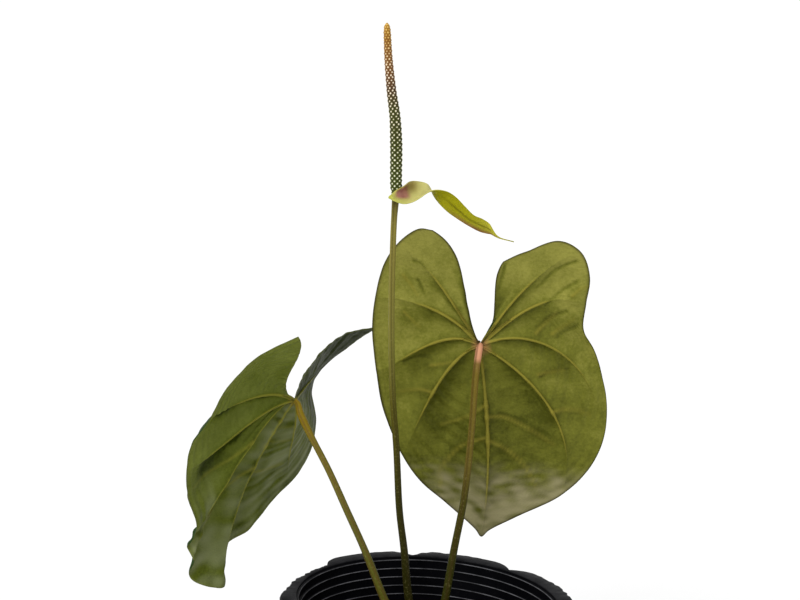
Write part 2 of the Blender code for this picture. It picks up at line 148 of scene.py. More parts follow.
LARGE_SIDE_VEINS = [
    [(7.1, -39.8), (15.2, -39.9), (24.9, -43.8), (42.5, -53.7)],
    [(8.3, -53.1), (17.6, -57.6), (27.6, -66), (35.4, -77.8)],
    [(6.7, -51.5), (-5.5, -57.3), (-10.3, -62.6), (-15.1, -70.1), (-15.5, -79.5)],
    [(5.2, -33.7), (-4.5, -41.1), (-16.6, -46.4)],
    [(39.9, -35.3), (47.1, -34), (53.4, -34.3), (59.9, -36.4)],
    [(-23, -27.9), (-29.2, -27.5), (-40, -29.9)],
    [(30.8, -15), (37.8, -13), (43.9, -11.6)],
    [(27.7, 7.9), (32.3, 13.6), (36.8, 19.4)],
    [(35.9, 7.7), (40.6, 11.8), (46.3, 16.5)],
    [(44, 29.6), (48.6, 34.1), (52, 35.3)],
    [(-41.1, 35), (-36.7, 29.9), (-33.4, 24.7)],
    [(-39.4, 15.4), (-34.6, 10.3), (-31.3, 7.3)],
    [(-23.9, -13.4), (-16.8, -11.7), (-12.8, -10.3)],
]
LARGE_COLOURS = (  # pale, deep, shade, rib, neck, painted sheen, margin, upper side, glow
    (158, 154, 72), (117, 118, 42), (76, 78, 20), (150, 140, 54), (176, 130, 84),
    (148, 141, 104), (40, 36, 12), (44, 62, 30), (168, 178, 60),
)  # fmt: skip
LARGE_CREASES = [  # grooves between the ribs, with painted shade along them
    [(44.5, 48), (34, 42), (26, 33)],
    [(46, 37), (38, 31), (31, 24)],
    [(42, 21), (34, 17), (28, 11)],
    [(48.5, 13), (42, 9), (38, 5.5)],
    [(-33.5, 33), (-31.5, 29), (-29.5, 25)],
    [(-36, 43), (-33, 42.5), (-30.5, 40.5)],
    [(9, 44), (8, 37), (6.5, 30)],
    [(32, -16), (38, -12.5), (46, -11)],
    [(13, -38), (26, -42), (37, -49)],
    [(-38, -12), (-33, -9.5), (-26, -8.5)],
]

# Left blade, whose right half turns away to the back
LEFT_JUNCTION = (-74, 26, 217.3)
LEFT_MARGIN = [
    (-72, 1, 256), (-83, -3, 251), (-95, -9, 243), (-106, -14, 230), (-112, -17, 217),
    (-120, -18, 205), (-122.5, -16, 190), (-123, -9, 173), (-119, -3, 161), (-119.3, 4, 150),
    (-122.3, 7, 142), (-120.5, 10, 134.7), (-122.7, 13.5, 126.6), (-119.3, 18, 120),
    (-106.4, 28, 115.4), (-109.3, 31, 123.2), (-106.1, 36, 134.8), (-96, 41, 142), (-87, 49, 152.5),
    (-76, 60, 163), (-67.5, 69, 177), (-64.5, 79, 193), (-68, 86, 208), (-64, 86, 220),
    (-49.5, 82, 234.2), (-34, 75, 247.6),
]  # fmt: skip
LEFT_RIBS = {
    0: ((-77.6, 18, 229.8), (-72.3, 10, 243.4)),
    4: ((-87, 11, 223.5), (-101, -2, 221)),
    6: ((-91, 13, 211), (-108.5, -1, 198)),
    9: ((-89, 19, 204), (-107.5, 9, 173)),
    14: ((-86, 27, 197), (-100, 26, 161)),
    19: ((-74, 38, 201), (-76.5, 48, 182)),
    23: ((-71, 44, 219), (-67, 64, 221)),
    25: ((-69.5, 41, 229.5), (-57, 58, 242)),
}
LEFT_QUILT = (1.6, 3.8, 3.8, 1.4, 1.8, 1.4, 0.8)
LEFT_LEAN = ((0.8, 0.8), (0.55, 1.1), (0.55, 1.1), (0.6, 1.0), *((0.8, 0.8),) * 3)
LEFT_RAYS = 64
# The same slots as the large blade's colours; the sixth is the painted sheen.
LEFT_COLOURS = (
    (122, 131, 56), (98, 108, 34), (46, 55, 6), (140, 138, 48), (140, 122, 46),
    (134, 140, 96), (112, 118, 52), (40, 60, 26), (140, 160, 50),
)  # fmt: skip
LEFT_RIB_ENDS = (1.0, 0.86, 0.93, 0.97, 0.95, 0.88, 0.9, 1.0)
LEFT_SIDE_VEINS = [  # as (place between the ribs, share of the way out)
    [(4.03, 0.38), (4.2, 0.5), (4.28, 0.65), (4.3, 0.85)],
    [(4.03, 0.22), (4.45, 0.3), (4.97, 0.34)],
    [(4.03, 0.3), (4.5, 0.42), (4.95, 0.48)],
    [(4.3, 0.6), (4.6, 0.64), (4.92, 0.7)],
    [(2.97, 0.42), (2.6, 0.55), (2.38, 0.72), (2.3, 0.9)],
    [(3.97, 0.5), (3.6, 0.62), (3.4, 0.8)],
    [(3.03, 0.6), (3.3, 0.7), (3.42, 0.88)],
]

# Spathe: matching points on its back edge and its front edge, from the stalk to the tip
SPATHE_BACK = [
    (-31.7, -4, 329), (-28.5, -4.6, 332), (-24.9, -2, 334), (-21.6, 2.5, 336), (-17.7, 4, 336),
    (-13.7, 4, 335), (-11.8, 4.5, 332.6), (-10.4, 4, 329.8), (-7.7, 3, 326.4), (-3.3, 2, 322.5),
    (2.3, 1.5, 319), (7.8, 1.5, 316), (13.4, 1.5, 313.5), (18, 1.5, 312.5), (22, 1, 310.5),
    (30, 1, 309.2),
]  # fmt: skip
SPATHE_FRONT = [
    (-32, -4, 328), (-28.2, -5, 326.5), (-24.3, -6, 326), (-20.5, -6, 327), (-17, -5, 329),
    (-13.8, -3, 331.3), (-11, -2, 332.7), (-7.3, -1, 333), (-2.9, 0, 332), (1.1, 0.5, 329.5),
    (5.3, 1, 325.5), (9.9, 1, 321.5), (14, 1, 320), (17.5, 1, 318), (22.5, 1, 312.5),
    (30.2, 1, 310),
]  # fmt: skip
SPATHE_HALF = 0.24  # half the thickness
SPATHE_HOLLOW = (  # share of the length, depth of the hollow as a share of the width
    (0, 0), (0.1, 0.18), (0.25, 0.3), (0.4, 0.12), (0.5, 0.04), (0.7, 0.12), (0.9, 0.05), (1, 0),
)  # fmt: skip

# Camera: where it stands, how far it looks down and how far the picture leans
CAMERA_PLACE = (-23.4, -905.2, 455.3)
CAMERA_DOWN = 11.10
CAMERA_LEAN = 3.45
CAMERA_LENS = 85.0


# --- Curves and sheets ---


def hermite(knots, values, at):
    """A smooth curve through values at the knots, read at the given places."""
    knots, values, at = (np.asarray(v, float) for v in (knots, values, at))
    slopes = np.gradient(values, knots, axis=0)
    i = np.clip(np.searchsorted(knots, at, side="right") - 1, 0, len(knots) - 2)
    width = (knots[i + 1] - knots[i])[:, None]
    s = (at - knots[i])[:, None] / width
    return (
        (2 * s**3 - 3 * s**2 + 1) * values[i]
        + (s**3 - 2 * s**2 + s) * width * slopes[i]
        + (3 * s**2 - 2 * s**3) * values[i + 1]
        + (s**3 - s**2) * width * slopes[i + 1]
    )


def knots_of(points):
    """Knots spaced by the square root of the distance between points, which stops overshoot."""
    steps = np.linalg.norm(np.diff(points, axis=0), axis=1)
    return np.concatenate([[0], np.cumsum(np.sqrt(steps))])


def smooth(points, count):
    points = np.array(points, float)
    knots = knots_of(points)
    return hermite(knots, points, np.linspace(0, knots[-1], count))


def lengths(path):
    return np.concatenate([[0], np.cumsum(np.linalg.norm(np.diff(path, axis=0), axis=1))])


def even(points, count):
    """A smooth line through the points, with points at even distances."""
    path = smooth(points, 8 * count)
    along = lengths(path)
    at = np.linspace(0, along[-1], count)
    return np.stack([np.interp(at, along, path[:, k]) for k in range(3)], axis=1)


def unit(vectors):
    return vectors / np.maximum(np.linalg.norm(vectors, axis=-1, keepdims=True), 1e-9)


def ripple(points, wavelength, seed, waves=14):
    """A smooth random field between about -1 and 1, from waves in random directions."""
    rng = np.random.default_rng(seed)
    total = np.zeros(points.shape[:-1])
    for _ in range(waves):
        direction = unit(rng.normal(size=3))
        stretch = rng.uniform(0.7, 1.5)
        turn = math.tau * points @ direction / (wavelength * stretch) + rng.uniform(0, math.tau)
        total += np.sin(turn)
    return total / math.sqrt(waves)


def sheet_normals(grid):
    """Unit normals of a grid of points."""
    return unit(np.cross(np.gradient(grid, axis=1), np.gradient(grid, axis=0)))


def distance_to_line(points, line):
    """Distance of each point to a line of points, and how far along the line it lies, 0 to 1."""
    line = even(line, 120)
    flat = points.reshape(-1, 3)
    gaps = np.linalg.norm(flat[:, None, :] - line[None, :, :], axis=2)
    nearest = gaps.argmin(axis=1)
    along = nearest / (len(line) - 1)
    return gaps.min(axis=1).reshape(points.shape[:-1]), along.reshape(points.shape[:-1])


def step_between(value, low, high):
    """0 below low, 1 above high and smooth between."""
    s = np.clip((value - low) / (high - low), 0, 1)
    return s * s * (3 - 2 * s)


def bell(value, width, power=2):
    """1 where the value is 0, falling to nothing a few widths away."""
    return np.exp(-((value / width) ** power))


def angles_round(sides):
    return math.tau * np.arange(sides) / sides


# --- Pieces ---


def add_piece(name, points, faces, look, replaced, values=None, smooth_degrees=180):
    """One mesh object, from points in millimetres, with named values on its points."""
    mesh = bpy.data.meshes.new(name)
    points = np.asarray(points, float) * MM
    mesh.from_pydata(points.tolist(), [], [tuple(int(v) for v in face) for face in faces])
    for key, numbers in (values or {}).items():
        layer = mesh.attributes.new(key, "FLOAT", "POINT")
        layer.data.foreach_set("value", np.asarray(numbers, np.float32).ravel())
    mesh.shade_smooth()
    if smooth_degrees < 180:
        mesh.set_sharp_from_angle(angle=math.radians(smooth_degrees))
    mesh.materials.append(look)
    mesh.update()
    obj = bpy.data.objects.new(name, mesh)
    bpy.context.collection.objects.link(obj)
    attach(obj, "root")
    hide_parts(*replaced)
    return obj


def grid_faces(rows, columns, closed=False):
    """Quads of a grid of points; closed joins the last column to the first."""
    faces = []
    for a in range(rows - 1):
        here, there = a * columns, (a + 1) * columns
        for b in range(columns if closed else columns - 1):
            c = (b + 1) % columns
            faces.append((here + b, here + c, there + c, there + b))
    return faces


def two_sided(rows, columns):
    """Faces of a top grid and of a bottom grid whose points come after the top's."""
    faces = grid_faces(rows, columns)
    return faces + [tuple(v + rows * columns for v in reversed(face)) for face in faces]


def sheet_faces(rows, columns):
    """Faces of a closed sheet: both grids and the edge between them."""
    edge = list(range(columns))
    edge += [a * columns + columns - 1 for a in range(1, rows)]
    edge += [(rows - 1) * columns + b for b in reversed(range(columns - 1))]
    edge += [a * columns for a in reversed(range(1, rows - 1))]
    under = rows * columns
    between = [(w, v, v + under, w + under) for v, w in zip(edge, edge[1:] + edge[:1])]
    return two_sided(rows, columns) + between


def thickened(grid, half):
    """Points of a sheet's two sides, the top ones first."""
    normal = sheet_normals(grid)
    return np.concatenate([(grid + side * half * normal).reshape(-1, 3) for side in (1, -1)])


def both_sides(fields, shape):
    """Each field given to a sheet's top and again to its bottom."""
    return {key: np.tile(np.broadcast_to(v, shape).ravel(), 2) for key, v in fields.items()}


def tube_rings(path, radii, sides):
    """Rings of points about a path. radii is one number a ring, or one a point."""
    if radii.ndim == 1:
        radii = np.repeat(radii[:, None], sides, axis=1)
    ahead = unit(np.gradient(path, axis=0))
    cos, sin = (f(angles_round(sides))[:, None] for f in (np.cos, np.sin))
    side = np.cross(ahead[0], (0, 1, 0))
    rings = []
    for centre, forward, radius in zip(path, ahead, radii):
        side = unit(side - forward * side.dot(forward))
        up = np.cross(forward, side)
        rings.append(centre + radius[:, None] * (cos * side + sin * up))
    return np.array(rings)


def add_tube(name, path, radii, sides, look, values=None):
    """A closed tube about a path, as one piece."""
    points = tube_rings(path, radii, sides).reshape(-1, 3)
    faces = grid_faces(len(path), sides, closed=True)
    faces += [tuple(reversed(range(sides))), tuple(range(len(points) - sides, len(points)))]
    add_piece(name, points, faces, look, [name], values)


# --- Material nodes ---


def linear(colour):
    """Blender's linear numbers for a colour triple; sockets and linear colours stay as they are."""
    if not isinstance(colour, tuple) or len(colour) != 3:
        return colour
    shares = [v / 255 for v in colour]
    return (*[v / 12.92 if v <= 0.04045 else ((v + 0.055) / 1.055) ** 2.4 for v in shares], 1)


class Look:
    """A Principled material and short ways to add nodes to it."""

    def __init__(self, name, roughness=0.5, specular=0.5):
        self.material = bpy.data.materials.new(name)
        self.material.use_nodes = True
        self.tree = self.material.node_tree
        self.shader = self.tree.nodes["Principled BSDF"]
        self.output = self.tree.nodes["Material Output"]
        self.shader.inputs["Roughness"].default_value = roughness
        self.shader.inputs["Specular IOR Level"].default_value = specular
        self.place = self.node("ShaderNodeTexCoord").outputs["Object"]

    def node(self, kind, inputs=None, **settings):
        made = self.tree.nodes.new(kind)
        for key, value in settings.items():
            setattr(made, key, value)
        for key, value in (inputs or {}).items():
            self.feed(made.inputs[key], value)
        return made

    def feed(self, socket, value):
        if isinstance(value, bpy.types.NodeSocket):
            self.tree.links.new(value, socket)
        else:
            socket.default_value = value

    def noise(self, size, detail=3.0, roughness=0.5, stretch=(1, 1, 1)):
        """Noise whose blobs are about size millimetres across."""
        place = self.node("ShaderNodeMapping", {"Vector": self.place, "Scale": stretch}).outputs[0]
        inputs = {"Vector": place, "Scale": 1 / (size * MM), "Detail": detail, "Roughness": roughness}
        return self.node("ShaderNodeTexNoise", inputs).outputs[0]

    def cells(self, size, feature="DISTANCE_TO_EDGE"):
        """Distance within random cells about size millimetres across."""
        inputs = {"Vector": self.place, "Scale": 1 / (size * MM)}
        return self.node("ShaderNodeTexVoronoi", inputs, feature=feature).outputs["Distance"]

    def value(self, name, share=1):
        """A named value of the mesh, or a share of it."""
        found = self.node("ShaderNodeAttribute", attribute_name=name).outputs["Fac"]
        return found if share == 1 else self.math("MULTIPLY", found, share)

    def spread(self, value, low, high, to_low=0.0, to_high=1.0):
        inputs = {0: value, 1: low, 2: high, 3: to_low, 4: to_high}
        return self.node("ShaderNodeMapRange", inputs).outputs[0]

    def ramp(self, value, *stops):
        """A colour along stops of (place, colour)."""
        made = self.node("ShaderNodeValToRGB", {"Fac": value})
        elements = made.color_ramp.elements
        while len(elements) < len(stops):
            elements.new(0.5)
        for element, (place, colour) in zip(elements, stops):
            element.position = place
            element.color = linear(colour)
        return made.outputs["Color"]

    def mix(self, share, first, second):
        made = self.node("ShaderNodeMix", data_type="RGBA")
        for index, value in ((0, share), (6, linear(first)), (7, linear(second))):
            self.feed(made.inputs[index], value)
        return made.outputs[2]

    def math(self, operation, first, second=0.0):
        return self.node("ShaderNodeMath", {0: first, 1: second}, operation=operation).outputs[0]

    def bump(self, height, depth, strength=1.0, below=None):
        """Bump whose full height is depth millimetres."""
        inputs = {"Height": height, "Distance": depth * MM, "Strength": strength}
        if below is not None:
            inputs["Normal"] = below
        return self.node("ShaderNodeBump", inputs).outputs[0]

    def finish(self, colour, roughness=None, normal=None):
        self.feed(self.shader.inputs["Base Color"], linear(colour))
        if roughness is not None:
            self.feed(self.shader.inputs["Roughness"], roughness)
        if normal is not None:
            self.feed(self.shader.inputs["Normal"], normal)
        return self.material

    def let_light_through(self, colour, share, normal):
        """Mixes in light that comes through a thin leaf."""
        through = self.node("ShaderNodeBsdfTranslucent", {"Color": linear(colour), "Normal": normal})
        inputs = {0: share, 1: self.shader.outputs[0], 2: through.outputs[0]}
        mixed = self.node("ShaderNodeMixShader", inputs)
        self.tree.links.new(mixed.outputs[0], self.output.inputs["Surface"])


# --- Blades ---


def blade_sheet(junction, margin, ribs, guides, quilt, lean, rays):
    """A blade's middle sheet and what is needed to put veins on it.

    Rows step outwards from the junction and columns run round the margin, closer together near
    the ribs. Between two ribs the blade swells to its upper side by quilt, and the pair of powers
    in lean says how steeply it falls away from the first rib and from the second. Guides bend
    the sheet as ribs do.
    """
    junction, margin = np.array(junction, float), np.array(margin, float)
    knots = knots_of(margin)
    rib_knots = knots[list(ribs)]
    share = np.arange(rays) / rays
    share = share - 0.11 * np.sin(math.tau * share)
    between = np.concatenate([k + share for k in range(len(ribs) - 1)] + [[len(ribs) - 1]])
    along = np.interp(between, np.arange(len(ribs)), rib_knots)
    edge = hermite(knots, margin, along)
    bent = dict(sorted({**ribs, **guides}.items()))
    ends = margin[list(bent)]
    at_third, at_two_thirds = np.array(list(bent.values())).swapaxes(0, 1)
    bend_1 = hermite(knots[list(bent)], at_third - (2 * junction + ends) / 3, along)
    bend_2 = hermite(knots[list(bent)], at_two_thirds - (junction + 2 * ends) / 3, along)
    out = np.linspace(0.02, 1, BLADE_ROWS)
    o = out[:, None, None]
    bend = 13.5 * o * (1 - o) * ((2 / 3 - o) * bend_1 + (o - 1 / 3) * bend_2)
    grid = junction + o * (edge - junction) + bend
    index = np.minimum(between.astype(int), len(quilt) - 1)
    part = between - index
    near, far = np.array(lean).T[:, index]
    top = near / (near + far)
    shape = (part**near * (1 - part) ** far) / (top**near * (1 - top) ** far)
    rise = 4.43 * out**1.3 * (1 - out) ** 0.9
    swell = rise[:, None] * np.array(quilt)[index] * shape
    grid = grid + sheet_normals(grid) * swell[:, :, None]
    return grid, between, out


def rib_closeness(grid, between, out, rib_ends):
    """How close each point is to a rib, the rib's height there and its flanks, all 0 to 1."""
    fields = np.zeros((3, *grid.shape[:2]))
    out = out[:, None]
    half_width = np.interp(out, (0, 0.15, 1), (1.1, 0.62, 0.34))
    for k in range(1, len(rib_ends) - 1):
        rib = int(np.argmin(np.abs(between - k)))
        near = np.abs(between - k) < 0.75
        gap = np.linalg.norm(grid[:, near] - grid[:, rib : rib + 1], axis=2)
        fade = 1 - step_between(out, rib_ends[k] - 0.25, rib_ends[k])
        close = bell(gap, half_width) * fade
        tall = close * np.interp(out, (0, 0.2, 1), (1.0, 0.85, 0.3))
        beside = bell(gap, 4 * half_width) * fade
        fields[:, :, near] = np.maximum(fields[:, :, near], (close**2, tall, beside))
    return fields


def line_closeness(grid, lines, seen):
    """How close each point is to a line drawn on the blade, and to a broad band about it.

    seen weighs the axes: the large blade's lines are given as seen from the front.
    """
    fields = np.zeros((2, *grid.shape[:2]))
    for line in lines:
        gap, along = distance_to_line(grid * seen, np.array(line) * seen)
        fade = 1 - 0.55 * along
        fields = np.maximum(fields, [fade * bell(gap, w) for w in (VEIN_WIDTH, 4 * VEIN_WIDTH)])
    return fields


def on_sheet(grid, between, out, line):
    """Points of the sheet from (place between the ribs, share of the way out)."""
    return [grid[np.argmin(np.abs(out - o)), np.argmin(np.abs(between - b))] for b, o in line]


def build_blade(name, sheet, junction, lines, creases, seen, rib_ends, waves, tone, painted_sheen, look):
    """A thin closed blade with ribs that stand out below and lie in grooves above."""
    grid, between, out = sheet
    upward = sheet_normals(grid)
    ribs, rib_height, flank = rib_closeness(grid, between, out, rib_ends)
    side, broad = line_closeness(grid, lines, seen)
    crease, _ = line_closeness(grid, creases, seen)
    edges = (grid[-1:], grid[:, :1], grid[:, -1:])
    rim = bell(np.min([np.linalg.norm(grid - edge, axis=2) for edge in edges], axis=0), 1)
    inside = step_between(out, 0.02, 0.3)[:, None]
    drift = inside * waves(grid, between, out) * (1 - 0.8 * flank) - 0.6 * broad + 0.5 * crease
    middle = grid + upward * drift[:, :, None]
    half = BLADE_HALF - RIM_THINNING * rim
    above = middle + upward * (half - RIB_GROOVE * rib_height - VEIN_GROOVE * side)[:, :, None]
    below = middle - upward * (half + RIB_STANDS * rib_height + VEIN_STANDS * side)[:, :, None]
    hub = np.array(junction) + np.outer(HUB_HEIGHTS, unit(upward[0].mean(axis=0)))
    points = np.concatenate([above.reshape(-1, 3), below.reshape(-1, 3), hub])
    # flank, broad and crease darken the skin as painted shade, and the sheen field is a painted sheen.
    fields = {
        "rib": ribs, "side_vein": side, "rim": rim, "flank": flank, "broad": broad, "crease": crease,
        "tone": tone, "painted_sheen": painted_sheen, "out": out[:, None],
    }  # fmt: skip
    values = both_sides(fields, rim.shape)
    at_hub = {"rib": 1, "tone": 0.5}
    values = {key: np.append(v, [at_hub.get(key, 0)] * 2) for key, v in values.items()}
    values["upper"] = np.repeat([1, 0, 1, 0], (rim.size, rim.size, 1, 1))
    add_piece(name, points, blade_faces(*rim.shape), look, [name], values)


def blade_faces(rows, columns):
    """Faces of a blade: two grids, a fan that closes each at the junction, and the edge."""
    under = rows * columns
    top_hub, low_hub = 2 * under, 2 * under + 1
    faces = two_sided(rows, columns)
    faces += [(top_hub, b + 1, b) for b in range(columns - 1)]
    faces += [(low_hub, under + b, under + b + 1) for b in range(columns - 1)]
    edge = [a * columns for a in range(rows)]
    edge += [(rows - 1) * columns + b for b in range(1, columns)]
    edge += [a * columns + columns - 1 for a in reversed(range(rows - 1))]
    faces += [(v, w, w + under, v + under) for v, w in zip(edge, edge[1:])]
    faces.append((edge[-1], top_hub, low_hub, edge[-1] + under))
    faces.append((top_hub, edge[0], edge[0] + under, low_hub))
    return faces


def large_point(flat):
    """A point of the large blade from its (x, z) in the blade's own frame."""
    x, z = flat
    jx, jy, jz = LARGE_JUNCTION
    sag = 0.0018 * z * z if z < 0 else 0
    return (jx + x, jy - 0.30 * z - sag + 0.0012 * x * x, jz + z)


def wrinkles(between, out, fineness, seed):
    """Folds that run from rib to rib, fineness of them between the junction and the margin."""
    across, outwards = np.meshgrid(between, out)
    return ripple(np.stack([0.7 * across, 0.2 * across, fineness * outwards], axis=2), 1, seed)


def large_waves(grid, between, out):
    """Soft swells, and fine wrinkles that run across the blade."""
    fine = wrinkles(between, out, 16, 21) * bell(between - 5, 2.3, 4)
    return 0.55 * ripple(grid, 30, 11) + 0.26 * fine + 0.12 * ripple(grid, 10, 12)


def left_waves(grid, between, out):
    """Stronger swells, with ruffles towards the tip."""
    near_tip = step_between(out, 0.55, 1.0)[:, None] * bell(between - 3.6, 1.1)
    ruffle = 0.7 * np.sin(between * 10.5) * near_tip + 0.35 * ripple(grid, 9, 34)
    swells = 0.4 * ripple(grid, 26, 31) + 0.1 * ripple(grid, 7, 35)
    return swells + 0.2 * wrinkles(between, out, 16, 33) + near_tip * ruffle


def painted_shade_beside_rib(share):
    """Where painted shade lies in the valley that follows a rib, 1 at its darkest, from the share of the
    way to the next rib.
    """
    return step_between(share, 0.015, 0.07) * (1 - step_between(share, 0.1, 0.5))


def large_tone(grid, between, out):
    """Paler towards the top and the sides, a deeper green about the middle rib, and painted shade on the
    tip's side of each rib.
    """
    x, z = grid[..., 0] - LARGE_JUNCTION[0], grid[..., 2] - LARGE_JUNCTION[2]
    share = between % 1
    valley = painted_shade_beside_rib(np.where(between < 5, share, 1 - share))
    reach = step_between(out, 0.05, 0.2) * (1 - step_between(out, 0.45, 0.8))
    tone = 0.5 + 0.0055 * z + 0.003 * np.abs(x - 4)
    # Painted shade in the valley on the tip's side of each rib.
    return np.clip(tone - 0.4 * reach[:, None] * valley, -0.3, 1)


def large_painted_sheen(grid, between, out):
    """A painted sheen in pale streaks near the tip."""
    x, z = grid[..., 0] - LARGE_JUNCTION[0], grid[..., 2] - LARGE_JUNCTION[2]
    low = step_between(-z, 62, 80)
    streaks = 0.22 * wrinkles(between, out, 15, 51) + 0.3 * ripple(grid * (0.35, 0.35, 1), 4.5, 52)
    middle = 0.2 * bell(x, 20) + 0.4 * step_between(-z, 80, 96)
    left = 0.25 * bell(x + 30, 12)
    return np.clip(low * (0.4 + middle - left + streaks), 0, 0.95)


def left_tone(grid, between, out):
    """Painted light on the half that faces forward, and painted shade where the blade turns away to the
    back and in the valley beside each strong rib.
    """
    y, z = grid[..., 1] - LEFT_JUNCTION[1], grid[..., 2] - LEFT_JUNCTION[2]
    # Painted light: paler towards the front and the top; painted shade where the blade turns away to the
    # back.
    tone = 0.6 - 0.007 * y + 0.002 * z - 0.45 * step_between(between, 5.4, 6.2)
    valley = np.where((between > 1) & (between < 4), painted_shade_beside_rib(between % 1), 0)
    reach = step_between(out, 0.1, 0.25) * (1 - step_between(out, 0.7, 0.95))
    # Painted shade in the valley beside each strong rib.
    return np.clip(tone - 1.1 * reach[:, None] * valley, -0.4, 1)


def left_painted_sheen(grid, between, out):
    """A painted sheen in pale streaks on the half that turns away and towards the tip."""
    turned = step_between(between, 3.2, 4.2) * (1 - step_between(between, 5.2, 5.7))
    tip = bell(between - 3.4, 0.9) * step_between(out, 0.6, 0.85)[:, None]
    streaks = 0.6 + 0.3 * wrinkles(between, out, 9, 61) + 0.25 * wrinkles(between, out, 26, 62)
    streaks = streaks + 0.3 * ripple(grid, 9, 63)
    return np.clip(np.maximum(0.75 * turned, 0.9 * tip) * streaks, 0, 1)


def leaf_look(name, colours, glow_share):
    """Leaf skin: mottled, with paler ribs, a dark margin and a deep green upper side, painted shade
    beside the ribs, about the side veins and in the creases, and a painted sheen in streaks.
    """
    look = Look(name, specular=0.07)
    pale, deep, shade, rib, neck, painted_sheen, margin, upper, glow = colours
    clouds = look.noise(11, 4, 0.6)
    mottle = look.noise(1.5, 3, 0.65)
    tone = look.math("ADD", look.value("tone"), look.spread(clouds, 0.25, 0.75, -0.22, 0.22))
    tone = look.math("ADD", tone, look.spread(mottle, 0.25, 0.75, -0.16, 0.16))
    # Painted shade: darker beside each rib, in a broad band about each side vein and along the creases.
    for shaded, share in (("flank", 0.2), ("broad", 0.25), ("crease", 0.5)):
        tone = look.math("SUBTRACT", tone, look.value(shaded, share))
    body = look.ramp(tone, (0.0, shade), (0.5, deep), (1.0, pale))
    # Painted sheen: pale grey-green streaks mixed into the skin.
    body = look.mix(look.value("painted_sheen"), body, painted_sheen)
    body = look.mix(look.value("side_vein", 0.62), body, rib)
    body = look.mix(look.value("rib", 0.9), body, rib)
    body = look.mix(look.spread(look.value("out"), 0.03, 0.08, 0.8, 0), body, neck)
    body = look.mix(look.value("rim", 0.9), body, margin)
    top = look.ramp(mottle, (0.35, upper), (0.75, [1.5 * v for v in linear(upper)]))
    top = look.mix(look.value("rib", 0.8), top, rib)
    top = look.mix(look.value("side_vein", 0.5), top, rib)
    colour = look.mix(look.value("upper"), body, top)
    net = look.spread(look.cells(2.4), 0.0, 0.12)
    grain = look.bump(look.noise(0.45, 2), 0.035)
    normal = look.bump(net, 0.03, below=grain)
    normal = look.bump(look.noise(6, 3, 0.6, (1, 1, 3)), 0.35, below=normal)
    look.finish(colour, look.spread(clouds, 0.3, 0.7, 0.40, 0.55), normal)
    look.let_light_through(look.mix(0.5, colour, glow), glow_share, normal)
    return look.material


def build_blades():
    def placed(lines):
        return [[large_point(p) for p in line] for line in lines]

    margin = [large_point(p) for p in LARGE_MARGIN]
    ribs = dict(zip(LARGE_RIBS, placed(LARGE_RIBS.values())))
    guides = dict(zip(LARGE_GUIDES, placed(LARGE_GUIDES.values())))
    sheet = blade_sheet(LARGE_JUNCTION, margin, ribs, guides, LARGE_QUILT, LARGE_LEAN, LARGE_RAYS)
    look = leaf_look("large_leaf_skin_look", LARGE_COLOURS, 0.25)
    build_blade(
        "leaf_blade_large", sheet, LARGE_JUNCTION, placed(LARGE_SIDE_VEINS), placed(LARGE_CREASES),
        (1, 0, 1), LARGE_RIB_ENDS, large_waves, large_tone(*sheet), large_painted_sheen(*sheet), look,
    )  # fmt: skip
    sheet = blade_sheet(LEFT_JUNCTION, LEFT_MARGIN, LEFT_RIBS, {}, LEFT_QUILT, LEFT_LEAN, LEFT_RAYS)
    side_lines = [on_sheet(*sheet, line) for line in LEFT_SIDE_VEINS]
    look = leaf_look("left_leaf_skin_look", LEFT_COLOURS, 0.2)
    build_blade(
        "leaf_blade_left", sheet, LEFT_JUNCTION, side_lines, [], (1, 1, 1),
        LEFT_RIB_ENDS, left_waves, left_tone(*sheet), left_painted_sheen(*sheet), look,
    )  # fmt: skip


# --- Stalks ---


def stalk_look(name, stops, streak, roughness):
    """Stalk skin: colour by height, long streaks and small specks."""
    look = Look(name, roughness, specular=0.06)
    colour = look.ramp(look.value("height"), *stops)
    streaks = look.spread(look.value("groove"), 0.2, 1.0, 0, 0.55)
    colour = look.mix(streaks, colour, streak)
    specks = look.spread(look.noise(0.9, 2, 0.6), 0.56, 0.7, 0, 0.22)
    colour = look.mix(specks, colour, look.mix(0.5, colour, (180, 172, 110)))
    lines = look.noise(0.5, 2, 0.5, (1, 1, 0.08))
    normal = look.bump(lines, 0.12, below=look.bump(look.noise(0.35, 2), 0.03))
    rough = look.spread(lines, 0.3, 0.7, roughness - 0.06, roughness + 0.08)
    return look.finish(colour, rough, normal)


def build_stalk(name, points, radii, grooves, seed, look):
    """A stalk with shallow grooves along it and slight swellings."""
    rings, sides = 260, 36
    path = even(points, rings)
    share = lengths(path) / lengths(path)[-1]
    turns = angles_round(sides) + 1.2 * share[:, None]
    groove = streak = np.zeros((rings, sides))
    for depth, place, width in grooves:
        close = bell((turns - place + math.pi) % math.tau - math.pi, width)
        groove, streak = np.maximum(groove, depth * close), np.maximum(streak, close)
    swellings = np.random.default_rng(seed).uniform(-0.02, 0.02, 14)
    widths = 1 + np.interp(share, np.linspace(0, 1, 14), swellings)[:, None] - groove
    widths = np.interp(share, *zip(*radii))[:, None] * widths
    values = {"height": np.repeat(share, sides), "groove": streak}
    add_tube(name, path, widths, sides, look, values)


